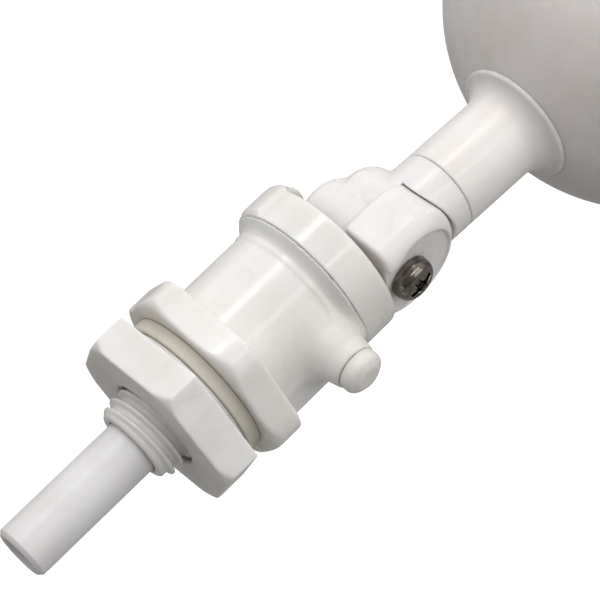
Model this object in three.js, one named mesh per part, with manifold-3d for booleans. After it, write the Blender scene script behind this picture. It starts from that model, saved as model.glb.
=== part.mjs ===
// Mini float valve: push-fit inlet stem, bulkhead body, swinging lever with a clamped arm, hollow ball.
// Units are millimetres. +X runs along the valve axis from the inlet stem to the float, +Z is up.
// The origin lies on the valve axis in the hex flange's sealing face.
import * as THREE from 'three';
import { mergeVertices } from 'three/addons/utils/BufferGeometryUtils.js';
import Module from 'manifold-3d';

const wasm = await Module();
wasm.setup();

// ---- driving dimensions -------------------------------------------------
const DEG = Math.PI / 180;
const GAP = 0.3;

const STEM_R = 3.175;          // quarter-inch tube
const STEM_X0 = -25.9;
const STEM_X1 = 4.2;
const STEM_BORE_R = 2.0;

const THREAD_R = 5.0;
const THREAD_ROOT_R = 4.35;
const THREAD_PITCH = 1.25;
const THREAD_X0 = -10.0;

const NUT_AF = 19.8;
const NUT_X0 = -6.7;
const NUT_X1 = -2.35;
const NUT_BORE_R = 5.25;
const NUT_TURN = 114.4;        // angle of one corner in the YZ plane, degrees from +Y to +Z

const WASHER_X0 = -2.15;
const WASHER_X1 = -1.65;
const WASHER_R = 8.4;

const GASKET_X0 = -1.5;
const GASKET_X1 = -0.15;
const GASKET_R = 8.9;

const FLANGE_AF = 20.5;
const FLANGE_X1 = 3.75;
const FLANGE_TURN = 123.6;

const BODY_R = 8.0;
const BODY_BOTTOM = -5.8;
const BODY_X1 = 17.1;
const CAVITY_R = 6.4;
const CAVITY_X0 = 8.6;
const GUIDE_R = 5.2;
const PLUNGER_X0 = 6.75;
const PLUNGER_X1 = 8.8;
const SEAL_X0 = 6.13;           // 0.58 clear of the nozzle rim with the valve open

const CAP_X0 = 15.35;
const CAP_X1 = 19.6;
const CAP_R = 9.4;
const CAP_MOUTH_R = 7.6;
const CHEEK_X = 18.6;           // rounded cheek on the cap's +Y side
const CHEEK_C = 5.65;
const CHEEK_R = 3.6;

const PIN_X = 11.6;            // lever pivot, axis along Y
const PIN_R = 1.5;
const PIN_HEAD_R = 2.5;
const BOSS_TOP_Y = -11.1;
const CAM_LIFT = 3.6;          // height of the cam nose above the pivot
const CAM_R = 1.75;

const SCREW_X = 23.03;         // clamp axis, along Y
const SCREW_R = 1.45;
const HEAD_R = 2.5;
const LUG_X = 24.5;            // round end of the lever's lug
const LUG_R = 6.0;
const LUG_Y0 = -8.6;
const LUG_Y1 = -2.15;
const LUG_FLOOR_Y = -8.0;      // seat of the screw head
const SWING_DEG = 8;

const ARM_Y = -3.0;
const ARM_PITCH = 4.8;         // droop of the arm below the valve axis, degrees
const ARM_R = 4.9;
const EYE_R = 4.4;
const EYE_Y0 = -1.85;
const EYE_Y1 = 5.4;
const NECK_S0 = 10.0;          // distances along the arm from the clamp axis
const NECK_S1 = 19.7;
const RING_S = 21.95;
const RING_R = 7.05;
const BALL_S = 43.8;
const BALL_R = 22.8;
const BALL_WALL = 1.2;

// ---- solid helpers ------------------------------------------------------
function solid(geometry) {
  const bare = geometry.clone();
  bare.deleteAttribute('normal');
  bare.deleteAttribute('uv');
  const g = mergeVertices(bare, 1e-4);
  const kept = [];
  const idx = g.index.array;
  for (let i = 0; i < idx.length; i += 3) {
    if (idx[i] !== idx[i + 1] && idx[i + 1] !== idx[i + 2] && idx[i] !== idx[i + 2]) {
      kept.push(idx[i], idx[i + 1], idx[i + 2]);
    }
  }
  const build = (tri) => new wasm.Manifold(new wasm.Mesh({
    numProp: 3,
    vertProperties: new Float32Array(g.attributes.position.array),
    triVerts: new Uint32Array(tri),
  }));
  const first = build(kept);
  if (first.volume() >= 0) return first;
  for (let i = 0; i < kept.length; i += 3) {
    [kept[i + 1], kept[i + 2]] = [kept[i + 2], kept[i + 1]];
  }
  return build(kept);
}

function geometryOf(shape) {
  const mesh = shape.getMesh();
  const g = new THREE.BufferGeometry();
  g.setAttribute('position', new THREE.BufferAttribute(new Float32Array(mesh.vertProperties), 3));
  g.setIndex(Array.from(mesh.triVerts));
  g.computeVertexNormals();
  return g;
}

// A closed profile of [axial, radius] pairs turned about +X.
function turnedX(profile, segments = 28) {
  const pts = profile.map(([a, r]) => new THREE.Vector2(r, a));
  const onAxis = pts[0].x === 0 && pts[pts.length - 1].x === 0;
  if (!onAxis) pts.push(pts[0].clone());
  const g = new THREE.LatheGeometry(pts, segments);
  g.rotateZ(-Math.PI / 2);
  return solid(g);
}

// The same about +Y.
function turnedY(profile, segments = 24) {
  const pts = profile.map(([a, r]) => new THREE.Vector2(r, a));
  const onAxis = pts[0].x === 0 && pts[pts.length - 1].x === 0;
  if (!onAxis) pts.push(pts[0].clone());
  return solid(new THREE.LatheGeometry(pts, segments));
}

function rodX(r, x0, x1, segments = 28) {
  return turnedX([[x0, 0], [x0, r], [x1, r], [x1, 0]], segments);
}

function rodY(r, y0, y1, x = 0, z = 0, segments = 24) {
  return turnedY([[y0, 0], [y0, r], [y1, r], [y1, 0]], segments).translate([x, 0, z]);
}

function tubeX(r, bore, x0, x1, segments = 28) {
  return turnedX([[x0, bore], [x0, r], [x1, r], [x1, bore]], segments);
}

function block(x0, x1, y0, y1, z0, z1) {
  const g = new THREE.BoxGeometry(x1 - x0, y1 - y0, z1 - z0);
  g.translate((x0 + x1) / 2, (y0 + y1) / 2, (z0 + z1) / 2);
  return solid(g);
}

function hexX(acrossFlats, x0, x1, turn) {
  const r = acrossFlats / 2 / Math.cos(30 * DEG);
  const g = new THREE.CylinderGeometry(r, r, x1 - x0, 6);
  g.rotateY(90 * DEG);
  g.rotateZ(-90 * DEG);
  g.rotateX(turn * DEG);
  g.translate((x0 + x1) / 2, 0, 0);
  return solid(g);
}

function hexY(acrossFlats, y0, y1, x) {
  const r = acrossFlats / 2 / Math.cos(30 * DEG);
  const g = new THREE.CylinderGeometry(r, r, y1 - y0, 6);
  g.translate(x, (y0 + y1) / 2, 0);
  return solid(g);
}

// Points of a quarter round from angle a0 to a1 about a centre, as [axial, radius].
function arc(axial, radius, r, a0, a1, steps) {
  const out = [];
  for (let i = 0; i <= steps; i += 1) {
    const a = (a0 + (a1 - a0) * i / steps) * DEG;
    out.push([axial + r * Math.cos(a), radius + r * Math.sin(a)]);
  }
  return out;
}

function toArm(shape) {
  return shape.rotate([0, ARM_PITCH, 0]).translate([SCREW_X, 0, 0]);
}

// ---- inlet and bulkhead -------------------------------------------------
function inletStem() {
  return turnedX([
    [STEM_X0, STEM_BORE_R + 0.3], [STEM_X0, STEM_R - 0.45], [STEM_X0 + 0.45, STEM_R],
    [STEM_X1, STEM_R], [STEM_X1, STEM_BORE_R], [STEM_X0 + 0.3, STEM_BORE_R],
  ], 28);
}

function orificeNozzle() {
  return turnedX([
    [1.6, 0.7], [1.6, 1.85], [4.35, 1.85], [4.35, 2.9], [4.95, 2.9], [5.55, 1.5], [5.55, 0.7],
  ], 20);
}

function ring(majorR, minorR, x) {
  const g = new THREE.TorusGeometry(majorR, minorR, 8, 24);
  g.rotateY(90 * DEG);
  g.translate(x, 0, 0);
  return solid(g);
}

function threadProfile() {
  const pts = [[-0.5, 0], [THREAD_X0, 0], [THREAD_X0, THREAD_ROOT_R - 0.15]];
  for (let x = THREAD_X0 + 0.25; x + THREAD_PITCH < -0.4; x += THREAD_PITCH) {
    pts.push([x, THREAD_ROOT_R], [x + 0.42, THREAD_R], [x + 0.72, THREAD_R], [x + 1.14, THREAD_ROOT_R]);
  }
  pts.push([-0.5, THREAD_ROOT_R]);
  return pts.reverse();
}

function pinBoss() {
  return turnedY([
    [0, 0], [0, 4.5], [-7.4, 4.5], [-9.4, 3.5], [BOSS_TOP_Y + 0.25, 3.0], [BOSS_TOP_Y, 2.75], [BOSS_TOP_Y, 0],
  ], 24).translate([PIN_X, 0, 0]);
}

function valveBody() {
  const hex = hexX(FLANGE_AF, 0, FLANGE_X1, FLANGE_TURN);
  const turnedHex = turnedX([
    [0, 0], [0, 10.1], [1.1, 11.4], [FLANGE_X1 - 0.7, 11.6], [FLANGE_X1, 11.0], [FLANGE_X1, 0],
  ], 36);
  let body = hex.intersect(turnedHex);
  body = body.add(rodX(THREAD_ROOT_R, -0.6, 0.4));
  body = body.add(turnedX(threadProfile(), 24));
  body = body.add(rodX(BODY_R, 2, BODY_X1, 36));
  body = body.add(block(2, CAP_X0 - 0.15, -BODY_R, BODY_R, BODY_BOTTOM, 0));
  body = body.add(turnedX([[14.3, 7], [14.3, 7.9], [CAP_X0 - 0.15, 9.1], [CAP_X0 - 0.15, 7]], 36));
  body = body.add(pinBoss().intersect(block(0, CAP_X0 - GAP, -14, -3, -7, 7)));
  body = body.subtract(rodX(STEM_R + 0.15, THREAD_X0 - 1, 4.5));
  body = body.subtract(tubeX(4.1, 3, 0.55, 1.95, 24));
  body = body.subtract(tubeX(4.1, 3, 2.35, 3.75, 24));
  body = body.subtract(rodX(GUIDE_R, 4.45, CAVITY_X0 + 0.1));
  body = body.subtract(rodX(CAVITY_R, CAVITY_X0, BODY_X1 + 1));
  body = body.subtract(block(9.2, 15.0, -3.4, 3.4, -9, -4));
  body = body.subtract(rodY(PIN_R + 0.06, -14, 9, PIN_X, 0, 24));
  return body;
}

function lockNut() {
  const hex = hexX(NUT_AF, NUT_X0, NUT_X1, NUT_TURN);
  const edge = turnedX([
    [NUT_X0, 0], [NUT_X0, 11.1], [NUT_X0 + 0.35, 11.7], [NUT_X1 - 0.35, 11.7], [NUT_X1, 11.1], [NUT_X1, 0],
  ], 36);
  return hex.intersect(edge).subtract(rodX(NUT_BORE_R, NUT_X0 - 1, NUT_X1 + 1, 28));
}

// ---- shut-off parts inside the body -------------------------------------
function plunger() {
  let p = turnedX([[PLUNGER_X0, 0], [PLUNGER_X0, 4.95], [PLUNGER_X1, 4.95], [PLUNGER_X1, 0]], 28);
  p = p.subtract(rodX(2.85, PLUNGER_X0 - 1, 7.75, 24));
  for (let k = 0; k < 4; k += 1) {
    const a = (45 + 90 * k) * DEG;
    p = p.subtract(rodX(1.0, PLUNGER_X0 - 1, PLUNGER_X1 + 1, 12).translate([0, 4.9 * Math.cos(a), 4.9 * Math.sin(a)]));
  }
  const pad = block(PLUNGER_X1 - 0.3, 9.6, -2, 2, 2.9, 4.4);
  return p.add(pad);
}

function sealDisc() {
  return turnedX([[SEAL_X0, 0], [SEAL_X0, 2.35], [SEAL_X0 + 0.15, 2.55], [7.6, 2.55], [7.6, 0]], 24);
}

function pivotPin() {
  return turnedY([
    [7.7, 0], [7.7, PIN_R - 0.3], [7.4, PIN_R], [BOSS_TOP_Y - GAP, PIN_R],
    [BOSS_TOP_Y - GAP, PIN_HEAD_R - 0.15], [BOSS_TOP_Y - 0.65, PIN_HEAD_R], [-12.4, PIN_HEAD_R],
    [-12.95, 2.15], [-13.3, 1.45], [-13.45, 0],
  ].reverse(), 24).translate([PIN_X, 0, 0]);
}

function endCap() {
  const round = arc(CHEEK_X, CHEEK_C, CHEEK_R, 0, 82, 6);
  const dome = turnedX([[CHEEK_X - 0.3, 0], [CHEEK_X + CHEEK_R, 0], ...round, [CHEEK_X - 0.3, CHEEK_C + CHEEK_R]], 36);
  const cheek = dome.intersect(block(CHEEK_X - 0.2, 30, EYE_Y1 + GAP, 12, -12, 12));
  const sleeve = turnedX([
    [CAP_X0, BODY_R + 0.12], [CAP_X0, CAP_R - 0.25], [CAP_X0 + 0.3, CAP_R], [CAP_X1 - 0.35, CAP_R],
    [CAP_X1, CAP_R - 0.35], [CAP_X1, CAP_MOUTH_R], [BODY_X1 + 0.2, CAP_MOUTH_R], [BODY_X1 + 0.2, BODY_R + 0.12],
  ], 36);
  return sleeve.add(cheek);
}

// ---- lever and clamp ----------------------------------------------------
function roundedLug() {
  const rim = arc(LUG_Y0 + 2.4, LUG_R - 2.4, 2.4, 180, 90, 5);
  return turnedY([[LUG_Y0, 0], ...rim, [LUG_Y1, LUG_R], [LUG_Y1, 0]], 32).translate([LUG_X, 0, 0]);
}

function lever() {
  const backX = CAP_X1 + GAP;
  let lug = roundedLug();
  lug = lug.add(roundedLug().translate([-1.3, 0, 0]));
  lug = lug.add(roundedLug().translate([-4, 0, 0]).intersect(block(10, 40, -20, 20, 0, 20)));
  lug = lug.intersect(block(backX, 40, -20, 20, -20, 20));
  const relief = block(-12, 0, -20, 20, 0, 30).rotate([0, SWING_DEG + 1, 0]);
  lug = lug.subtract(relief.translate([backX, 0, 0]));
  const neck = block(PIN_X, backX + 2.6, -4.9, LUG_Y1 - 0.05, -2.2, 2.2);
  const hub = rodY(2.6, -4.9, 4.9, PIN_X, 0, 32);
  const nose = rodY(CAM_R, -2, 2, PIN_X, CAM_LIFT, 24);
  const web = block(PIN_X - 1.4, PIN_X + 1.4, -2, 2, 0, CAM_LIFT);
  let all = lug.add(neck).add(hub).add(nose).add(web);
  all = all.subtract(rodY(PIN_R + 0.08, -8, 8, PIN_X, 0, 24));
  all = all.subtract(rodY(SCREW_R + 0.2, -12, 3, SCREW_X, 0, 24));
  const floor = rodY(4.7, -12, LUG_FLOOR_Y, LUG_X, 0, 32).add(block(15, LUG_X, -12, LUG_FLOOR_Y, -3.95, 3.95));
  return all.subtract(floor);
}

function clampScrew() {
  const dome = arc(LUG_FLOOR_Y - 1.0, HEAD_R - 1.1, 1.1, 180, 90, 4);
  let s = turnedY([
    [4.0, 0], [4.0, SCREW_R - 0.3], [3.7, SCREW_R], [LUG_FLOOR_Y - 0.08, SCREW_R],
    [LUG_FLOOR_Y - 0.08, HEAD_R], ...dome.reverse(), [LUG_FLOOR_Y - 2.1, 0],
  ].reverse(), 24);
  const y1 = LUG_FLOOR_Y - 1.05;
  const slotA = block(-1.35, 1.35, -14, y1, -0.3, 0.3);
  const slotB = block(-0.3, 0.3, -14, y1, -1.35, 1.35);
  const pit = turnedY([[-14, 0], [-14, 0.75], [y1 - 0.3, 0.75], [y1 + 0.4, 0]], 16);
  s = s.subtract(slotA.add(slotB).rotate([0, 20, 0])).subtract(pit);
  return s.translate([SCREW_X, 0, 0]);
}

function clampLockWasher() {
  const g = turnedY([[1.4, 1.65], [1.4, 2.6], [1.95, 2.6], [1.95, 1.65]], 20);
  return g.subtract(block(0, 4, 1, 2.5, -0.2, 0.2)).translate([SCREW_X, 0, 0]);
}

function clampNut() {
  const n = hexY(5.5, 2.05, 4.45, SCREW_X);
  return n.subtract(rodY(SCREW_R + 0.12, 1, 6, SCREW_X, 0, 24)).translate([-SCREW_X, 0, 0])
    .rotate([0, ARM_PITCH, 0]).translate([SCREW_X, 0, 0]);
}

// ---- arm and float ------------------------------------------------------
function floatArm() {
  const rim = arc(EYE_Y1 - 2, EYE_R - 2, 2, 0, 90, 5);
  const eye = turnedY([[EYE_Y1, 0], ...rim, [EYE_Y0, EYE_R], [EYE_Y0, 0]], 28);
  const rim2 = arc(4.2 - 2.6, 4.4 - 2.6, 2.6, 0, 90, 5);
  const shoulder = turnedY([[4.2, 0], ...rim2, [EYE_Y0, 4.4], [EYE_Y0, 0]], 28).translate([3.5, 0, 0]);
  const tongue = block(0, 5, EYE_Y0, 3.0, -4.2, 4.2);
  let spigot = turnedX([[2, 0], [2, 4.4], [3, ARM_R], [9.4, ARM_R], [9.7, ARM_R - 0.3], [9.7, 0]], 28);
  spigot = spigot.translate([0, ARM_Y, 0]);
  spigot = spigot.subtract(rodY(LUG_X - SCREW_X + LUG_R + GAP, -20, EYE_Y0, 0, 0, 36));
  let plug = turnedX([[9, 0], [9, 3.35], [15.6, 3.35], [16.2, 2.8], [16.2, 0]], 24);
  plug = plug.subtract(tubeX(5, 2.75, 12.2, 13.6, 24)).translate([0, ARM_Y, 0]);
  let arm = eye.add(shoulder).add(tongue).add(spigot).add(plug);
  arm = arm.subtract(rodY(SCREW_R + 0.2, -12, 12, 0, 0, 24));
  arm = arm.subtract(hexY(6.0, 1.25, 8, 0));
  return toArm(arm);
}

function floatNeck() {
  let n = turnedX([
    [NECK_S0, 3.6], [NECK_S0, ARM_R - 0.15], [NECK_S0 + 0.15, ARM_R], [NECK_S1, ARM_R],
    [NECK_S1 + 1.0, ARM_R + 0.35], [RING_S - 0.7, RING_R - 0.75], [RING_S - 0.25, RING_R], [RING_S + 1.5, RING_R],
    [RING_S + 1.5, 3.4], [RING_S + 2.6, 3.4], [RING_S + 2.6, 2.2], [17.2, 2.2], [17.2, 3.6],
  ], 28);
  const seat = new THREE.SphereGeometry(BALL_R + 0.2, 28, 48);
  seat.rotateZ(90 * DEG);
  seat.translate(BALL_S, 0, 0);
  const keep = tubeX(20, 3.5, 0, 40, 28);
  n = n.subtract(solid(seat).intersect(keep));
  return toArm(n.translate([0, ARM_Y, 0]));
}

function neckORing() {
  return toArm(ring(3.15, 0.36, 12.9).translate([0, ARM_Y, 0]));
}

function shellHalf(near) {
  const steps = 9;
  const out = arc(0, 0, BALL_R, near ? 90.4 : 89.6, near ? 170.6 : 0, steps);
  const inner = arc(0, 0, BALL_R - BALL_WALL, near ? 170.1 : 0, near ? 90.4 : 89.6, steps);
  let half;
  if (near) {
    half = turnedX([...out, ...inner], 32);
  } else {
    out[steps] = [BALL_R, 0];
    inner[0] = [BALL_R - BALL_WALL, 0];
    const lip = BALL_R - BALL_WALL - 0.25;
    const ringPart = turnedX([
      [-1.6, lip - 0.8], [-1.6, lip], [0.05, lip], [0.5, lip + 0.5], [2.2, lip + 0.5], [2.2, lip - 0.8],
    ], 32);
    half = turnedX([[inner[0][0], 0], ...inner.slice(1), ...out.slice(0, steps), [BALL_R, 0]], 32).add(ringPart);
  }
  return toArm(half.translate([BALL_S, ARM_Y, 0]));
}

// ---- assembly -----------------------------------------------------------
const finishes = {
  coolWhite: { color: 0xe3e2e4, roughness: 0.42, metalness: 0 },
  warmWhite: { color: 0xe4e0da, roughness: 0.4, metalness: 0 },
  ballWhite: { color: 0xd6cfcb, roughness: 0.38, metalness: 0 },
  cream: { color: 0xcfc7b0, roughness: 0.7, metalness: 0 },
  blackRubber: { color: 0x26262a, roughness: 0.8, metalness: 0 },
  steel: { color: 0x8d8a86, roughness: 0.35, metalness: 1 },
};

const group = new THREE.Group();
group.name = 'float_valve';

function place(name, shape, finish) {
  const mesh = new THREE.Mesh(geometryOf(shape), new THREE.MeshStandardMaterial(finishes[finish]));
  mesh.name = name;
  group.add(mesh);
}

place('valve_body', valveBody(), 'warmWhite');
place('inlet_stem', inletStem(), 'coolWhite');
place('orifice_nozzle', orificeNozzle(), 'coolWhite');
place('stem_o_ring_outer', ring(3.68, 0.34, 1.25), 'blackRubber');
place('stem_o_ring_inner', ring(3.68, 0.34, 3.05), 'blackRubber');
place('bulkhead_gasket', tubeX(GASKET_R, 5.2, GASKET_X0, GASKET_X1, 28), 'cream');
place('slip_washer', tubeX(WASHER_R, 5.2, WASHER_X0, WASHER_X1, 28), 'coolWhite');
place('lock_nut', lockNut(), 'coolWhite');
place('plunger', plunger(), 'coolWhite');
place('seal_disc', sealDisc(), 'blackRubber');
place('pivot_pin', pivotPin(), 'warmWhite');
place('end_cap', endCap(), 'warmWhite');
place('lever', lever(), 'coolWhite');
place('clamp_screw', clampScrew(), 'steel');
place('clamp_lock_washer', clampLockWasher(), 'steel');
place('clamp_nut', clampNut(), 'steel');
place('float_arm', floatArm(), 'warmWhite');
place('neck_o_ring', neckORing(), 'blackRubber');
place('float_neck', floatNeck(), 'warmWhite');
place('float_shell_near', shellHalf(true), 'ballWhite');
place('float_shell_far', shellHalf(false), 'ballWhite');

export default group;
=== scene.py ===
import math

import bmesh
import bpy
import numpy as np
from mathutils import Matrix, Vector

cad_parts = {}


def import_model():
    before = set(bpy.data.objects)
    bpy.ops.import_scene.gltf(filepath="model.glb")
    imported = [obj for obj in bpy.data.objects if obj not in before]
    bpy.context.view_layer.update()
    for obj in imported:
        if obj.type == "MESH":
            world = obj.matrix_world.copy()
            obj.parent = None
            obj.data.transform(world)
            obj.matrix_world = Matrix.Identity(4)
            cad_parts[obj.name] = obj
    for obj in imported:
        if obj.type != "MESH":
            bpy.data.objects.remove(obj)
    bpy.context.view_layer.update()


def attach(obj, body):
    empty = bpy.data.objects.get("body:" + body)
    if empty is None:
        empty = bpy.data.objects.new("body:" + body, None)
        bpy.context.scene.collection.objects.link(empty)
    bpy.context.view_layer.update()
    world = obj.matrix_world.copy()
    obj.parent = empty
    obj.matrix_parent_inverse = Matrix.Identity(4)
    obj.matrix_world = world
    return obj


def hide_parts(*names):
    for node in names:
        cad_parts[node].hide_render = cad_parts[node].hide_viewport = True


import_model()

MM = 0.001
FINE = 1.0

# ---- sizes, in millimetres ----------------------------------------------
STEM_R, STEM_X0, STEM_X1, STEM_BORE_R = 3.175, -25.9, 4.2, 2.0
THREAD_R, THREAD_ROOT, PITCH, THREAD_X0 = 5.0, 4.35, 1.25, -10.0
NUT_AF, NUT_X0, NUT_X1, NUT_TURN = 19.8, -6.7, -2.35, 114.4
FLANGE_AF, FLANGE_X1, FLANGE_TURN = 20.5, 3.75, 123.6
RING_HOLE_R = 5.2  # gasket and slip washer
BODY_R, BODY_BOTTOM, BODY_X1 = 8.0, -5.8, 17.1
CAP_X0, CAP_X1, CAP_R = 15.35, 19.73, 9.4
PIN_X, PIN_R, BOSS_Y = 11.6, 1.5, -11.4
SCREW_X, SCREW_HOLE_R = 23.03, 1.65
LUG_X, LUG_R = 24.5, 6.0
LUG_FACE_Y, ARM_FACE_Y = -2.04, -1.96
LUG_SWEEP_R, ARM_RELIEF_R = 7.38, 7.51
ARM_Y, ARM_PITCH, NECK_R = -3.0, math.radians(4.8), 4.9
BALL_S, BALL_R, BALL_WALL = 43.8, 22.8, 1.2
LENS, SENSOR = 150.06, 36.0
CAMERA_AT = (-54.60, -119.08, 223.89)
CAMERA_RIGHT = (0.69485, -0.70169, -0.15752)
CAMERA_AHEAD = (0.26021, 0.44951, -0.85453)
FLOOR_Z = -60.0  # below the float's lowest setting


# ---- distance fields ----------------------------------------------------
def smin(a, b, k):
    """The lesser of two fields, blended where they differ by less than k."""
    h = np.clip(0.5 + 0.5 * (b - a) / k, 0, 1)
    return b + (a - b) * h - k * h * (1 - h)


def smax(a, b, k):
    return -smin(-a, -b, k)


def cut(a, b, k=0.25):
    return smax(a, -b, k)


def disc(radial, axial, r, lo, hi, e):
    """A cylinder of radius r between lo and hi, its edges rounded by e."""
    qx = radial - (r - e)
    qy = np.abs(axial - (lo + hi) / 2) - ((hi - lo) / 2 - e)
    return np.minimum(np.maximum(qx, qy), 0) + np.hypot(np.maximum(qx, 0), np.maximum(qy, 0)) - e


def box(x, y, z, lo, hi, e):
    q = [np.abs(v - (a + b) / 2) - ((b - a) / 2 - e) for v, a, b in zip((x, y, z), lo, hi)]
    outside = np.sqrt(sum(np.maximum(v, 0) ** 2 for v in q))
    return np.minimum(np.maximum(np.maximum(q[0], q[1]), q[2]), 0) + outside - e


def hexagon(u, v, across, turn, k):
    d = None
    for i in range(3):
        a = math.radians(turn + 30 + 60 * i)
        f = np.abs(u * math.cos(a) + v * math.sin(a)) - across / 2
        d = f if d is None else smax(d, f, k)
    return d


def ramp(value, xs, ys):
    return np.interp(value, xs, ys)


def surface(field, lo, hi, step):
    """Quads on the field's zero level, each corner moved onto it along the gradient."""
    step = step * FINE
    axes = [np.arange(lo[i] - 1.6 * step, hi[i] + 2.6 * step, step) for i in range(3)]
    grid = np.meshgrid(*axes, indexing="ij", sparse=True)
    inside = np.broadcast_to(field(*grid), [len(a) for a in axes]) < 0
    count = np.zeros([len(a) - 1 for a in axes], np.int8)
    for i in (0, 1):
        for j in (0, 1):
            for k in (0, 1):
                n = count.shape
                count += inside[i:n[0] + i, j:n[1] + j, k:n[2] + k]
    cells = np.nonzero((count > 0) & (count < 8))
    index = np.full(count.shape, -1, np.int32)
    index[cells] = np.arange(len(cells[0]))
    start = np.stack([axes[i][cells[i]] + step / 2 for i in range(3)], 1)
    quads = []
    for ax in range(3):
        u, v = (ax + 1) % 3, (ax + 2) % 3
        head = [slice(None)] * 3
        tail = [slice(None)] * 3
        head[ax], tail[ax] = slice(0, -1), slice(1, None)
        a, b = inside[tuple(head)], inside[tuple(tail)]
        g = np.stack(np.nonzero(a != b), 1)
        g = g[(g[:, u] > 0) & (g[:, v] > 0) & (g[:, u] < len(axes[u]) - 1) & (g[:, v] < len(axes[v]) - 1)]
        out = a[tuple(g.T)]
        du, dv = np.eye(3, dtype=int)[u], np.eye(3, dtype=int)[v]
        q = np.stack([index[tuple(c.T)] for c in (g - du - dv, g - dv, g, g - du)], 1)
        q[~out] = q[~out][:, ::-1]
        quads.append(q)
    quads = np.concatenate(quads)
    p = start.copy()

    def settle(p, rounds):
        e = 0.02
        for _ in range(rounds):
            d = field(*p.T)
            ahead = [field(*(p + e * side).T) for side in np.eye(3)]
            behind = [field(*(p - e * side).T) for side in np.eye(3)]
            g = (np.stack(ahead, 1) - np.stack(behind, 1)) / (2 * e)
            n2 = np.maximum((g ** 2).sum(1), 0.05)
            p = p - np.clip(d / n2, -step, step)[:, None] * g
        return p

    p = settle(p, 3)
    for _ in range(2):
        total, hits = np.zeros_like(p), np.zeros(len(p))
        for a, b in ((0, 1), (1, 2), (2, 3), (3, 0)):
            for s, t in ((a, b), (b, a)):
                for c in range(3):
                    total[:, c] += np.bincount(quads[:, s], p[quads[:, t], c], len(p))
                hits += np.bincount(quads[:, s], minlength=len(p))
        p = settle(p + 0.5 * (total / np.maximum(hits, 1)[:, None] - p), 2)
    return p, quads


# ---- mesh making --------------------------------------------------------
def to_arm(p):
    """From the arm's own frame, with its first axis along the arm from the clamp screw."""
    c, s = math.cos(ARM_PITCH), math.sin(ARM_PITCH)
    return np.stack([SCREW_X + p[:, 0] * c + p[:, 2] * s, p[:, 1], p[:, 2] * c - p[:, 0] * s], 1)


def piece(name, points, faces, body, node, material, weighted=False):
    mesh = bpy.data.meshes.new(name)
    mesh.from_pydata((np.asarray(points) * MM).tolist(), [], [list(map(int, f)) for f in faces])
    bm = bmesh.new()
    bm.from_mesh(mesh)
    bmesh.ops.recalc_face_normals(bm, faces=bm.faces)
    bm.to_mesh(mesh)
    bm.free()
    mesh.polygons.foreach_set("use_smooth", [True] * len(mesh.polygons))
    mesh.materials.append(material)
    o = bpy.data.objects.new(name, mesh)
    bpy.context.scene.collection.objects.link(o)
    if weighted:
        m = o.modifiers.new("normals", "WEIGHTED_NORMAL")
        m.weight = 80
    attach(o, body)
    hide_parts(node)
    return o


def rounded(profile, steps=5):
    """Each [axial, radius, corner radius] corner of a closed profile is rounded."""
    out = []
    pts = [np.array(p[:2], float) for p in profile]
    for i, p in enumerate(pts):
        e = profile[i][2]
        if e <= 0:
            out.append(p)
            continue
        u, v = pts[i - 1] - p, pts[(i + 1) % len(pts)] - p
        lu, lv = np.linalg.norm(u), np.linalg.norm(v)
        u, v = u / lu, v / lv
        t = min(e / math.tan(math.acos(np.clip(u @ v, -1, 1)) / 2), 0.48 * lu, 0.48 * lv)
        for k in range(steps + 1):
            s = k / steps
            out.append((1 - s) ** 2 * (p + u * t) + 2 * s * (1 - s) * p + s * s * (p + v * t))
    return out


def lathe(profile, segments=96, axis="X", centre=(0, 0, 0)):
    """Points and quads of a profile of [axial, radius] turned about an axis."""
    prof = np.array(profile, float)
    solid = prof[0, 1] < 1e-9 and prof[-1, 1] < 1e-9
    rows, points = [], []
    for a, r in prof:
        if r < 1e-9:
            rows.append([len(points)] * segments)
            points.append((a, 0, 0))
            continue
        rows.append(list(range(len(points), len(points) + segments)))
        for k in range(segments):
            t = 2 * math.pi * k / segments
            points.append((a, r * math.cos(t), r * math.sin(t)))
    faces = []
    n = len(rows)
    for i in range(n - 1 if solid else n):
        a, b = rows[i], rows[(i + 1) % n]
        for k in range(segments):
            m = (k + 1) % segments
            q = []
            for v in (a[k], a[m], b[m], b[k]):
                if v not in q:
                    q.append(v)
            if len(q) > 2:
                faces.append(q)
    p = np.array(points)
    if axis == "Y":
        p = np.stack([p[:, 1], p[:, 0], p[:, 2]], 1)
    return p + np.array(centre), faces


def helix(x, y, z, pitch, phase=0.0):
    """From 0 to 1 along the axis within one turn of a thread."""
    return np.mod(x / pitch - np.arctan2(z, y) / (2 * math.pi) + phase, 1.0)


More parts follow.
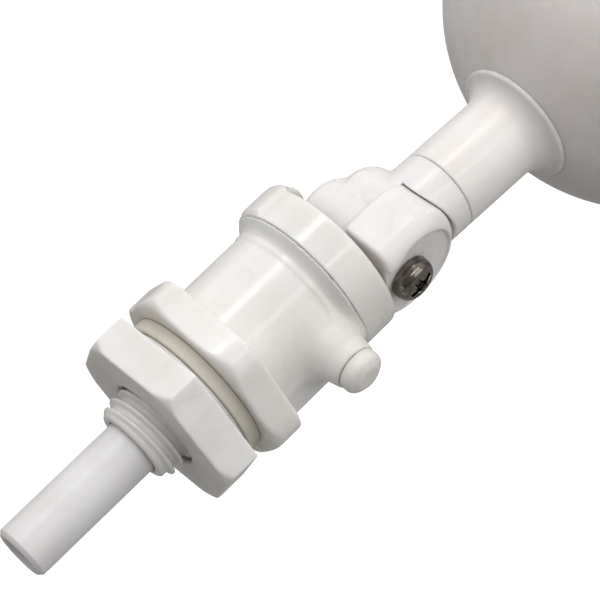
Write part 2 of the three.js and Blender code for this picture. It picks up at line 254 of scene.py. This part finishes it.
# ---- shapes -------------------------------------------------------------
def body_field(x, y, z):
    r = np.hypot(y, z)
    flange = smax(hexagon(y, z, FLANGE_AF, FLANGE_TURN, 0.45), x - FLANGE_X1, 0.35)
    flange = smax(flange, -x, 0.4)
    flange = smax(flange, (r - 10.45 - 1.25 * np.maximum(x, 0)) * 0.65, 0.3)
    flange = smax(flange, r - 11.3, 0.6)
    tooth = ramp(helix(x, y, z, PITCH), [0, 0.17, 0.34, 0.56, 0.73, 1], [0, 0, 1, 1, 0, 0])
    lead = np.clip((x - THREAD_X0 - 0.1) / 0.9, 0, 1)
    shank = (r - THREAD_ROOT - (THREAD_R - THREAD_ROOT) * tooth * lead) * 0.6
    shank = smax(shank, (r - 4.3 - 0.75 * (x - THREAD_X0)) * 0.8, 0.3)
    shank = smax(shank, np.abs(x + 4.5) - 5.5, 0.3)
    wall = smin(r - BODY_R, box(x, y, z, (-5, -BODY_R, BODY_BOTTOM), (40, BODY_R, 0.5), 1.0), 0.5)
    housing = smax(wall, np.abs(x - 8.665) - 6.665, 0.08)
    spigot = disc(r, x, BODY_R, 10, BODY_X1, 0.3)
    bead = smax((r - ramp(x, [13.9, 15.2], [7.9, 9.32])) * 0.7, np.abs(x - 14.4) - 0.93, 0.1)
    housing = smin(housing, bead, 0.6)
    rr = np.hypot(x - PIN_X, z)
    cone = (rr - ramp(y, [BOSS_Y, -9.8, -8.2, -6], [2.62, 2.95, 3.7, 4.7])) * 0.85
    boss = smax(cone, -11.37 - y, 0.12)
    boss = smax(boss, y + 4, 0.3)
    solid = smin(smin(flange, shank, 0.3), smin(housing, spigot, 0.05), 0.6)
    solid = smin(solid, boss, 1.3)
    # the bead ends flat, just short of the collar
    solid = np.where(x > 14, smax(solid, np.where(r > 8.05, x - 15.33, -1.0 + 0 * x), 0.15), solid)
    solid = cut(solid, disc(r, x, 3.33, -14, 4.55, 0.02))
    for a in (0.55, 2.35):
        solid = cut(solid, disc(r, x, 4.1, a, a + 1.4, 0.1), 0.05)
    solid = cut(solid, disc(r, x, 5.2, 4.45, 9.5, 0.1), 0.1)
    solid = cut(solid, disc(r, x, 6.4, 8.6, 20, 0.3), 0.2)
    solid = cut(solid, box(x, y, z, (9.2, -3.4, -12), (15.0, 3.4, -4), 0.6), 0.4)
    return cut(solid, rr - 1.56, 0.15)


def cap_field(x, y, z):
    r = np.hypot(y, z)
    ring = smax(smax(r - CAP_R, x - CAP_X1, 0.6), CAP_X0 - x, 0.1)
    dome = np.where(r < 5.65, x - 22.2, np.hypot(np.maximum(x - 18.6, 0), r - 5.65) - 3.6)
    dome = smax(smax(dome, 5.75 - y, 0.7), CAP_X0 + 1 - x, 0.2)
    solid = smin(ring, dome, 1.5)
    # the mouth goes through the end face, but not through the dome
    mouth = disc(r, x, 7.6, 10, 19.95, 0.01)
    solid = cut(solid, smax(mouth, y - 5.72 - 50 * (x < 19.6), 0.05), 0.35)
    return cut(solid, disc(r, x, 8.12, 10, 17.3, 0.05), 0.15)


def nut_field(x, y, z):
    r = np.hypot(y, z)
    mid, half = (NUT_X0 + NUT_X1) / 2, (NUT_X1 - NUT_X0) / 2
    solid = smax(hexagon(y, z, NUT_AF, NUT_TURN, 0.12), np.abs(x - mid) - half, 0.2)
    solid = smax(solid, (r - 10.6 - 1.0 * (x - NUT_X0)) * 0.7, 0.25)
    tooth = ramp(helix(x, y, z, PITCH, 0.5), [0, 0.2, 0.4, 0.6, 0.8, 1], [0, 0, 1, 1, 0, 0])
    bore = (r - 5.3 + 0.18 * tooth) * 0.8
    bore = np.minimum(bore, (r - 5.45 + 0.8 * (half - np.abs(x - mid))) * 0.78)
    return cut(solid, bore, 0.15)


def lever_field(x, y, z):
    left = np.where(z > 0, LUG_X - 4.0, LUG_X - 1.3)
    rr = np.hypot(x - np.clip(x, left, LUG_X), z)
    edge = smax(z - LUG_R, np.hypot(x - SCREW_X, z) - LUG_SWEEP_R, 1.6)
    wide = smax(disc(edge + LUG_R, y, LUG_R, -8.6, 4, 2.3), -z, 0.2)
    lug = smax(smin(disc(rr, y, LUG_R, -8.6, 4, 2.3), wide, 0.3), y - LUG_FACE_Y, 0.2)
    # the back is cut to clear the collar through the swing
    back = np.maximum(19.86 - x, (19.86 + 0.149 * z - x) * 0.989)
    lug = smax(lug, back, 0.5)
    # a flat seat for the screw's head
    seat = np.hypot(x - np.minimum(x, LUG_X), z) - 3.9
    seat = np.minimum(np.hypot(x - LUG_X, z) - 4.65, seat)
    lug = smax(lug, -np.maximum(seat, y + 8.0), 0.25)
    neck = box(x, y, z, (PIN_X, -4.9, -2.2), (22.6, -2.2, 2.2), 0.5)
    pr = np.hypot(x - PIN_X, z)
    hub = disc(pr, y, 2.6, -4.9, 4.9, 0.25)
    web = np.hypot(x - PIN_X, z - np.clip(z, 0, 3.6)) - 1.75
    web = smax(web, np.abs(y) - 2, 0.3)
    solid = smin(smin(lug, neck, 0.6), smin(hub, web, 0.5), 0.6)
    # blends must not pass the face that meets the arm
    solid = np.where(x > 17, smax(solid, y - LUG_FACE_Y, 0.1), solid)
    solid = cut(solid, pr - 1.58, 0.2)
    return cut(solid, np.hypot(x - SCREW_X, z) - SCREW_HOLE_R, 0.2)


def arm_field(s, y, z):
    rr = np.hypot(s, z)
    eye = smax(disc(rr, y, 4.4, -12, 5.4, 2.0), ARM_FACE_Y - y, 0.2)
    rs = np.hypot(s - 3.5, z)
    shoulder = smax(disc(rs, y, 4.4, -12, 4.2, 2.6), ARM_FACE_Y - y, 0.2)
    tongue = box(s, y, z, (0, ARM_FACE_Y, -4.2), (5, 3.0, 4.2), 0.6)
    ra = np.hypot(y - ARM_Y, z)
    spigot = disc(ra, s, NECK_R, 2, 9.93, 0.2)
    # room for the lug's end at every setting angle
    relief = np.maximum(rr - ARM_RELIEF_R, y - ARM_FACE_Y)
    spigot = smax(spigot, -relief, 0.3)
    solid = smin(smin(eye, shoulder, 0.6), smin(tongue, spigot, 0.8), 0.5)
    solid = smax(solid, -relief, 0.1)
    plug = disc(ra, s, 3.35, 8.5, 16.2, 0.4)
    groove = np.maximum(-(ra - 2.75), np.abs(s - 12.9) - 0.7)
    plug = smax(plug, -groove, 0.08)
    solid = smin(solid, plug, 0.25)
    solid = cut(solid, smax(rr - SCREW_HOLE_R, -12 - y, 0.1), 0.2)
    pocket = np.maximum(hexagon(s, z, 6.0, 0, 0.15), 1.25 - y)
    return cut(solid, pocket, 0.3)


def screw_field(x, y, z):
    x = x - SCREW_X
    rr = np.hypot(x, z)
    top = -10.2 + 0.09 * rr ** 2
    head = smax(smax(rr - 2.5, (top - y) * 0.9, 0.9), y + 8.08, 0.12)
    tooth = ramp(helix(y, x, z, 0.5), [0, 0.15, 0.45, 0.55, 0.85, 1], [0, 0, 1, 1, 0, 0])
    shank = smax((rr - 1.2 - 0.25 * tooth) * 0.6, y - 4.0, 0.3)
    shank = smax(shank, -9 - y, 0.1)
    solid = smin(head, shank, 0.1)
    c, s = math.cos(math.radians(20)), math.sin(math.radians(20))
    u, v = x * c + z * s, -x * s + z * c
    depth = -8.95 - 0.25 * rr
    taper = 0.13 * (y + 9.4)
    arms = np.minimum(np.maximum(np.abs(u) - 0.34 + taper, np.abs(v) - 1.42 + 2 * taper),
                      np.maximum(np.abs(v) - 0.34 + taper, np.abs(u) - 1.42 + 2 * taper))
    arms = smin(arms, rr - 0.72 + taper, 0.12)
    return cut(solid, np.maximum(arms, y - depth), 0.06)


def clamp_nut_field(s, y, z):
    rr = np.hypot(s, z)
    solid = smax(hexagon(s, z, 5.5, 0, 0.1), np.abs(y - 3.25) - 1.2, 0.1)
    solid = smax(solid, (rr + 0.7 * (np.abs(y - 3.25) - 1.2) - 2.95) * 0.8, 0.1)
    tooth = ramp(helix(y, s, z, 0.5, 0.5), [0, 0.2, 0.45, 0.55, 0.8, 1], [0, 0, 1, 1, 0, 0])
    return cut(solid, (rr - 1.72 + 0.16 * tooth) * 0.7, 0.05)


def washer_field(x, y, z):
    x = x - SCREW_X
    rr = np.hypot(x, z)
    lift = 0.12 * np.arctan2(z, x) / math.pi
    solid = smax(np.abs(rr - 2.12) - 0.47, np.abs(y - 1.675 + lift * 0.5) - 0.2, 0.12)
    return smax(solid, -np.maximum(np.abs(z) - 0.16, -x), 0.08)


def plunger_field(x, y, z):
    r = np.hypot(y, z)
    solid = disc(r, x, 4.95, 6.75, 8.8, 0.25)
    solid = cut(solid, disc(r, x, 2.85, 5.5, 7.75, 0.05), 0.15)
    for k in range(4):
        a = math.radians(45 + 90 * k)
        solid = cut(solid, np.hypot(y - 4.9 * math.cos(a), z - 4.9 * math.sin(a)) - 1.0, 0.25)
    return smin(solid, box(x, y, z, (8.2, -2, 2.9), (9.6, 2, 4.4), 0.25), 0.3)


# ---- node materials -----------------------------------------------------
class Graph:
    """Short calls that add and link shader nodes."""

    def __init__(self, name):
        self.material = bpy.data.materials.new(name)
        self.material.use_nodes = True
        self.tree = self.material.node_tree
        self.tree.nodes.clear()
        self.out = self.add("ShaderNodeOutputMaterial")
        self.shader = self.add("ShaderNodeBsdfPrincipled")
        self.link(self.shader.outputs[0], self.out.inputs[0])
        self.coords = self.add("ShaderNodeTexCoord").outputs["Object"]

    def add(self, kind, **values):
        node = self.tree.nodes.new(kind)
        for key, value in values.items():
            setattr(node, key, value)
        return node

    def link(self, a, b):
        self.tree.links.new(a, b)

    def put(self, socket, value):
        if isinstance(value, bpy.types.NodeSocket):
            self.link(value, socket)
        else:
            socket.default_value = value

    def noise(self, scale, detail=4.0, rough=0.55, stretch=None, distortion=0.0):
        n = self.add("ShaderNodeTexNoise")
        where = self.coords
        if stretch:
            m = self.add("ShaderNodeMapping")
            m.inputs["Scale"].default_value = stretch
            self.link(where, m.inputs[0])
            where = m.outputs[0]
        self.link(where, n.inputs["Vector"])
        n.inputs["Scale"].default_value = scale
        n.inputs["Detail"].default_value = detail
        n.inputs["Roughness"].default_value = rough
        n.inputs["Distortion"].default_value = distortion
        return n.outputs["Fac"]

    def span(self, value, lo, hi, to_lo=0.0, to_hi=1.0):
        m = self.add("ShaderNodeMapRange")
        m.interpolation_type = "SMOOTHSTEP"
        self.put(m.inputs[0], value)
        for i, v in enumerate((lo, hi, to_lo, to_hi)):
            m.inputs[i + 1].default_value = v
        return m.outputs[0]

    def math(self, op, a, b=0.0):
        m = self.add("ShaderNodeMath", operation=op)
        self.put(m.inputs[0], a)
        self.put(m.inputs[1], b)
        return m.outputs[0]

    def mix(self, factor, a, b, blend="MIX"):
        m = self.add("ShaderNodeMix", data_type="RGBA", blend_type=blend)
        self.put(m.inputs["Factor"], factor)
        self.put(m.inputs[6], a)
        self.put(m.inputs[7], b)
        return m.outputs[2]

    def bumps(self, layers):
        normal = None
        for height, strength, distance in layers:
            b = self.add("ShaderNodeBump")
            b.inputs["Strength"].default_value = strength
            b.inputs["Distance"].default_value = distance
            self.link(height, b.inputs["Height"])
            if normal:
                self.link(normal, b.inputs["Normal"])
            normal = b.outputs[0]
        self.link(normal, self.shader.inputs["Normal"])


def rgb(r, g, b):
    """Linear colour from screen values 0 to 255."""
    linear = [c / 255 / 12.92 if c < 10 else ((c / 255 + 0.055) / 1.055) ** 2.4 for c in (r, g, b)]
    return (*linear, 1.0)


def plastic(name, light, shade, streak_and_crease_shade, rough=0.36, soft=0.35, specks=0.0, grain=1.0, fade=None):
    g = Graph(name)
    cloud = g.span(g.noise(95, 3), 0.35, 0.65)
    mottle = g.span(g.noise(620, 5, 0.6, distortion=0.4), 0.3, 0.7)
    colour = g.mix(cloud, light, shade)
    colour = g.mix(g.math("MULTIPLY", mottle, 0.22), colour, shade)
    swirl = g.span(g.noise(210, 6, 0.7, stretch=(0.35, 1, 1), distortion=1.2), 0.52, 0.72)
    # streaks of the third colour through the plastic, a tone it has under any lamp
    colour = g.mix(g.math("MULTIPLY", swirl, 0.18), colour, streak_and_crease_shade)
    # painted shade: the colour turns towards the third colour where ambient occlusion finds creases,
    # seams and gaps between parts
    hollow = g.add("ShaderNodeAmbientOcclusion", samples=8)
    hollow.inputs["Distance"].default_value = 0.0016
    painted_crease_shade = g.span(hollow.outputs["AO"], 0.35, 0.95, 1.0, 0.0)
    painted_crease_shade = g.math("MULTIPLY", painted_crease_shade, g.span(g.noise(900, 4), 0.25, 0.7, 0.2, 0.55))
    colour = g.mix(painted_crease_shade, colour, streak_and_crease_shade)
    if fade:
        along = g.add("ShaderNodeSeparateXYZ")
        g.link(g.coords, along.inputs[0])
        wander = g.math("MULTIPLY", g.noise(160, 3), 0.003)
        reach = g.span(g.math("ADD", along.outputs[0], wander), fade[0], fade[1])
        colour = g.mix(reach, colour, fade[2])
    point = g.add("ShaderNodeNewGeometry").outputs["Pointiness"]
    worn = g.math("MULTIPLY", g.span(point, 0.505, 0.56), g.span(g.noise(480, 5), 0.4, 0.65))
    colour = g.mix(g.math("MULTIPLY", worn, 0.55), colour, rgb(250, 249, 247))
    if specks:
        cells = g.add("ShaderNodeTexVoronoi", feature="F1")
        cells.inputs["Scale"].default_value = 210
        g.link(g.coords, cells.inputs["Vector"])
        dot = g.span(cells.outputs["Distance"], 0.025, 0.05, 1.0, 0.0)
        pick = g.add("ShaderNodeSeparateColor")
        g.link(cells.outputs["Color"], pick.inputs[0])
        rare = g.math("GREATER_THAN", pick.outputs[0], 1.0 - specks)
        colour = g.mix(g.math("MULTIPLY", dot, rare), colour, rgb(74, 66, 58))
    g.link(colour, g.shader.inputs["Base Color"])
    smear = g.span(g.noise(150, 5, 0.6, stretch=(1, 0.5, 0.8), distortion=0.8), 0.35, 0.7)
    r = g.math("ADD", g.math("MULTIPLY", smear, 0.14), rough - 0.07)
    r = g.math("ADD", r, g.math("MULTIPLY", worn, 0.12))
    r = g.math("ADD", r, g.math("MULTIPLY", g.noise(2600, 2), 0.05))
    g.link(r, g.shader.inputs["Roughness"])
    s = g.shader.inputs
    s["IOR"].default_value = 1.5
    s["Subsurface Weight"].default_value = soft
    s["Subsurface Radius"].default_value = (1.0, 0.85, 0.7)
    s["Subsurface Scale"].default_value = 0.002
    scratch = g.span(g.noise(700, 2, 0.5, stretch=(0.06, 1, 1.3), distortion=0.3), 0.62, 0.68)
    nick = g.span(g.noise(1300, 6, 0.7), 0.66, 0.74)
    g.bumps([
        (g.noise(330, 3), 0.10 * grain, 0.00008),
        (g.noise(2400, 3), 0.10 * grain, 0.00002),
        (scratch, 0.12 * grain, 0.000012),
        (nick, 0.18 * grain, 0.00002),
    ])
    return g.material


def rubber(name, base, dust, rough=0.72):
    g = Graph(name)
    dusty = g.span(g.noise(420, 6, 0.65), 0.42, 0.7)
    colour = g.mix(g.math("MULTIPLY", dusty, 0.5), base, dust)
    point = g.add("ShaderNodeNewGeometry").outputs["Pointiness"]
    worn = g.math("MULTIPLY", g.span(point, 0.505, 0.56), 0.5)
    g.link(g.mix(worn, colour, dust), g.shader.inputs["Base Color"])
    r = g.math("ADD", g.math("MULTIPLY", g.noise(900, 4), 0.2), rough - 0.1)
    g.link(r, g.shader.inputs["Roughness"])
    g.bumps([(g.noise(1800, 5, 0.7), 0.35, 0.00004), (g.noise(300, 3), 0.2, 0.00008)])
    return g.material


def steel(name):
    g = Graph(name)
    tarnish = g.span(g.noise(520, 6, 0.6, distortion=0.6), 0.4, 0.7)
    colour = g.mix(tarnish, rgb(136, 129, 121), rgb(84, 76, 69))
    # painted shade: the steel darkens almost to black where ambient occlusion finds recesses, such as the
    # screw's cross recess and the thread roots
    hollow = g.add("ShaderNodeAmbientOcclusion", samples=8)
    hollow.inputs["Distance"].default_value = 0.0008
    painted_recess_shade = g.span(hollow.outputs["AO"], 0.3, 0.9, 0.85, 0.0)
    colour = g.mix(painted_recess_shade, colour, rgb(20, 18, 16))
    point = g.add("ShaderNodeNewGeometry").outputs["Pointiness"]
    worn = g.span(point, 0.51, 0.58)
    colour = g.mix(g.math("MULTIPLY", worn, 0.5), colour, rgb(226, 224, 220))
    g.link(colour, g.shader.inputs["Base Color"])
    g.shader.inputs["Metallic"].default_value = 1.0
    r = g.math("ADD", g.math("MULTIPLY", g.noise(1400, 5, 0.65), 0.16), 0.10)
    g.link(r, g.shader.inputs["Roughness"])
    g.bumps([(g.noise(3200, 4, 0.7), 0.2, 0.00001), (g.noise(600, 3), 0.12, 0.00003)])
    return g.material


# each plastic's third colour serves both its streaks and the painted shade in its creases
COOL = plastic("stem_plastic", rgb(227, 225, 226), rgb(219, 216, 216),
               rgb(190, 184, 172), 0.34, specks=0.03)
NUT = plastic("nut_plastic", rgb(233, 231, 230), rgb(223, 219, 214),
              rgb(184, 177, 160), 0.4, specks=0.02, grain=1.3)
WARM = plastic("body_plastic", rgb(235, 233, 231), rgb(228, 224, 219),
               rgb(208, 200, 188), 0.21, specks=0.07, grain=1.4)
BALL = plastic("ball_plastic", rgb(229, 223, 220), rgb(221, 214, 210),
               rgb(190, 183, 175), 0.42, specks=0.01)
NECK = plastic("neck_plastic", rgb(243, 239, 236), rgb(236, 230, 226),
               rgb(212, 203, 192), 0.3, specks=0.01,
               fade=(0.0405, 0.0475, rgb(229, 223, 220)))
CREAM = rubber("gasket_rubber", rgb(207, 202, 190), rgb(192, 186, 172), 0.7)
BRIGHT = plastic("lever_plastic", rgb(238, 236, 236), rgb(231, 228, 227),
                 rgb(212, 205, 196), 0.3, specks=0.02)
BLACK = rubber("seal_rubber", rgb(28, 28, 31), rgb(70, 68, 66), 0.62)
METAL = steel("stainless")


# ---- pieces -------------------------------------------------------------
def ring_profile(major, minor, axial, steps=20):
    turns = [2 * math.pi * k / steps for k in range(steps)]
    return [(axial + minor * math.cos(t), major + minor * math.sin(t)) for t in turns]


p, q = surface(body_field, (-10.3, -11.5, -12), (17.4, 11.8, 12), 0.215)
piece("valve_body_visual", p, q, "valve", "valve_body", WARM)

stem = rounded([
    (STEM_X0, 2.25, 0.15), (STEM_X0, 2.75, 0.1), (STEM_X0 + 0.45, STEM_R, 0.25), (STEM_X1, STEM_R, 0.2),
    (STEM_X1, STEM_BORE_R, 0.1), (STEM_X0 + 0.9, STEM_BORE_R, 0.4),
])
p, q = lathe(stem)
piece("inlet_stem_visual", p, q, "valve", "inlet_stem", COOL, True)

nozzle = rounded([
    (1.6, 0.7, 0.1), (1.6, 1.85, 0.2), (4.35, 1.85, 0.05), (4.35, 2.9, 0.12), (4.95, 2.9, 0.12),
    (5.55, 1.5, 0.15), (5.55, 0.7, 0.1),
])
p, q = lathe(nozzle, 64)
piece("orifice_nozzle_visual", p, q, "valve", "orifice_nozzle", COOL, True)

for name, where in (("stem_o_ring_outer", 1.25), ("stem_o_ring_inner", 3.05)):
    p, q = lathe(ring_profile(3.68, 0.34, where), 72)
    piece(name + "_visual", p, q, "valve", name, BLACK)

gasket = rounded([
    (-1.62, RING_HOLE_R, 0.1), (-1.62, 8.75, 0.3), (-0.03, 8.75, 0.1), (-0.03, RING_HOLE_R, 0.1),
])
p, q = lathe(gasket)
piece("bulkhead_gasket_visual", p, q, "valve", "bulkhead_gasket", CREAM, True)

slip = rounded([
    (-2.15, RING_HOLE_R, 0.08), (-2.15, 8.4, 0.12), (-1.65, 8.4, 0.12), (-1.65, RING_HOLE_R, 0.08),
])
p, q = lathe(slip)
piece("slip_washer_visual", p, q, "washer", "slip_washer", COOL, True)

p, q = surface(nut_field, (NUT_X0, -11.5, -11.5), (NUT_X1, 11.5, 11.5), 0.16)
piece("lock_nut_visual", p, q, "nut", "lock_nut", NUT)

p, q = surface(plunger_field, (6.6, -5, -5), (9.7, 5, 5), 0.14)
piece("plunger_visual", p, q, "plunger", "plunger", COOL)

seal = rounded([(6.13, 0, 0), (6.13, 2.55, 0.2), (7.6, 2.55, 0.15), (7.6, 0, 0)])
p, q = lathe(seal, 64)
piece("seal_disc_visual", p, q, "plunger", "seal_disc", BLACK, True)

pin = rounded([
    (7.7, 0, 0), (7.7, PIN_R, 0.3), (BOSS_Y, PIN_R, 0.05), (BOSS_Y, 2.45, 0.35), (-12.75, 2.5, 0.9),
    (-13.45, 1.35, 0.9), (-13.45, 0, 0),
])
p, q = lathe(pin, 72, "Y", (PIN_X, 0, 0))
piece("pivot_pin_visual", p, q, "valve", "pivot_pin", WARM, True)

p, q = surface(cap_field, (CAP_X0, -9.6, -9.6), (22.4, 9.6, 9.6), 0.16)
piece("end_cap_visual", p, q, "valve", "end_cap", WARM)

p, q = surface(lever_field, (8.8, -8.8, -6.2), (30.7, 5.1, 6.2), 0.14)
piece("lever_visual", p, q, "lever", "lever", BRIGHT)

p, q = surface(screw_field, (20.4, -10.4, -2.6), (25.6, 4.2, 2.6), 0.075)
piece("clamp_screw_visual", p, q, "lever", "clamp_screw", METAL)

p, q = surface(washer_field, (20.3, 1.2, -2.7), (25.7, 2.2, 2.7), 0.08)
piece("clamp_lock_washer_visual", p, q, "arm", "clamp_lock_washer", METAL)

p, q = surface(clamp_nut_field, (-3.3, 1.9, -3.3), (3.3, 4.6, 3.3), 0.09)
piece("clamp_nut_visual", to_arm(p), q, "arm", "clamp_nut", METAL)

p, q = surface(arm_field, (-4.5, -8.1, -5.1), (16.4, 5.6, 5.1), 0.14)
piece("float_arm_visual", to_arm(p), q, "arm", "float_arm", BRIGHT)

p, q = lathe(ring_profile(3.15, 0.36, 12.9), 72)
on_arm = np.array((0, ARM_Y, 0))
piece("neck_o_ring_visual", to_arm(p + on_arm), q, "arm", "neck_o_ring", BLACK)

# the neck runs from its socket over the flare and the seat on the ball to its inner tip
turns = [math.radians(a) for a in range(0, 76, 5)]
flare = [(18.9 + 2.85 * math.sin(a), NECK_R + 2.85 * (1 - math.cos(a))) for a in turns]
neck = rounded([(10.0, 3.6, 0.15), (10.0, NECK_R, 0.2), (14.0, NECK_R, 0)]) + [np.array(v) for v in flare]
seat_r = BALL_R + 0.03
under = [np.array((BALL_S - math.sqrt(seat_r ** 2 - r * r), r)) for r in np.linspace(7.05, 3.42, 12)]
neck += [np.array((21.86, 7.1)), np.array((22.05, 7.13))] + under
tip = ((24.4, 3.4), (24.55, 3.2), (24.55, 2.35), (24.4, 2.2), (17.2, 2.2), (17.2, 3.6))
neck += [np.array(v) for v in tip]
p, q = lathe(neck, 128)
piece("float_neck_visual", to_arm(p + on_arm), q, "arm", "float_neck", NECK, True)


def shell(near):
    inner = BALL_R - BALL_WALL
    a0, a1 = (90.15, 170.6) if near else (89.85, 0.0)
    out = [math.radians(a0 + (a1 - a0) * k / 48) for k in range(49)]
    outer = [(BALL_R * math.cos(a), BALL_R * math.sin(a)) for a in out]
    outer[0] = (outer[0][0], outer[0][1] - 0.12)
    back = [(inner * math.cos(a), inner * math.sin(a)) for a in reversed(out)]
    if not near:
        outer[-1], back[0] = (BALL_R, 0.0), (inner, 0.0)
        lip = inner - 0.2
        back = back[:-3] + [(2.2, lip), (2.0, lip - 0.8), (-1.6, lip - 0.8)]
        back += [(-1.6, lip), (-0.3, lip), (0.0, inner + 0.2)]
    return outer + back


for name, near in (("float_shell_near", True), ("float_shell_far", False)):
    prof = shell(near)
    if not near:
        # a closed end needs the profile to start and finish on the axis
        k = next(i for i, v in enumerate(prof) if v[1] == 0.0)
        prof = prof[k + 1:] + prof[:k + 1]
    p, q = lathe(prof, 128)
    piece(name + "_visual", to_arm(p + np.array((BALL_S, ARM_Y, 0))), q, "arm", name, BALL)


# ---- floor, light and camera --------------------------------------------
def floor():
    bm = bmesh.new()
    bmesh.ops.create_grid(bm, x_segments=40, y_segments=40, size=4.0)
    mesh = bpy.data.meshes.new("studio_floor")
    bm.to_mesh(mesh)
    bm.free()
    o = bpy.data.objects.new("studio_floor", mesh)
    bpy.context.scene.collection.objects.link(o)
    o.location = (0.03, 0, FLOOR_Z * MM)
    g = Graph("studio_paper")
    tone = g.mix(g.span(g.noise(9, 4), 0.3, 0.7), (0.34, 0.34, 0.335, 1), (0.31, 0.31, 0.305, 1))
    g.link(tone, g.shader.inputs["Base Color"])
    g.shader.inputs["Roughness"].default_value = 0.95
    g.bumps([(g.noise(900, 4), 0.05, 0.0001)])
    lift = g.add("ShaderNodeEmission")
    seen = g.add("ShaderNodeLightPath").outputs["Is Camera Ray"]
    g.link(g.math("MULTIPLY", seen, 0.86), lift.inputs["Strength"])
    both = g.add("ShaderNodeAddShader")
    g.link(g.shader.outputs[0], both.inputs[0])
    g.link(lift.outputs[0], both.inputs[1])
    g.link(both.outputs[0], g.out.inputs[0])
    mesh.materials.append(g.material)


def lamp(name, towards, distance, size, power, colour=(1, 1, 1), aim=(0.005, -0.001, 0.0)):
    """A softbox whose first side lies along the valve's axis."""
    data = bpy.data.lights.new(name, "AREA")
    data.shape = "RECTANGLE"
    data.size, data.size_y = size
    data.energy = power
    data.color = colour
    o = bpy.data.objects.new(name, data)
    bpy.context.scene.collection.objects.link(o)
    d = Vector(towards).normalized()
    side = (Vector((1, 0, 0)) - d * d.x).normalized()
    m = Matrix((side, d.cross(side), d)).transposed().to_4x4()
    m.translation = Vector(aim) + d * distance
    o.matrix_world = m


def world():
    w = bpy.data.worlds.new("studio")
    bpy.context.scene.world = w
    w.use_nodes = True
    tree = w.node_tree
    back = tree.nodes["Background"]
    back.inputs[0].default_value = (1.0, 0.995, 0.985, 1)
    where = tree.nodes.new("ShaderNodeTexCoord")
    lean = tree.nodes.new("ShaderNodeVectorMath")
    lean.operation = "DOT_PRODUCT"
    lean.inputs[1].default_value = (0.46, 0.24, 0.85)
    tree.links.new(where.outputs["Generated"], lean.inputs[0])
    bright = tree.nodes.new("ShaderNodeMapRange")
    for i, v in enumerate((-0.5, 0.9, 0.03, 0.80)):
        bright.inputs[i + 1].default_value = v
    tree.links.new(lean.outputs["Value"], bright.inputs[0])
    tree.links.new(bright.outputs[0], back.inputs[1])


def camera():
    data = bpy.data.cameras.new("camera")
    data.sensor_fit = "HORIZONTAL"
    data.sensor_width = SENSOR
    data.lens = LENS
    data.clip_start = 0.01
    o = bpy.data.objects.new("camera", data)
    bpy.context.scene.collection.objects.link(o)
    right = Vector(CAMERA_RIGHT).normalized()
    ahead = Vector(CAMERA_AHEAD).normalized()
    up = right.cross(ahead).normalized()
    m = Matrix((right, up, -ahead)).transposed().to_4x4()
    m.translation = Vector(CAMERA_AT) * MM
    o.matrix_world = m
    bpy.context.scene.camera = o


floor()
world()
lamp("key_softbox", (0.28, 0.24, 0.93), 0.45, (0.42, 0.075), 0.50)
lamp("strip_far", (0.26, 0.21, 0.94), 0.42, (0.42, 0.012), 0.10)
lamp("strip_near", (0.25, -0.56, 0.80), 0.42, (0.42, 0.012), 0.27)
lamp("wash_far", (0.15, 0.92, 0.40), 0.55, (0.50, 0.30), 0.42)
lamp("fill_near", (0.45, -0.85, 0.38), 0.6, (0.40, 0.40), 0.56)
camera()
view = bpy.context.scene.view_settings
view.view_transform = "Standard"
view.look = "None"
view.exposure = 0.0
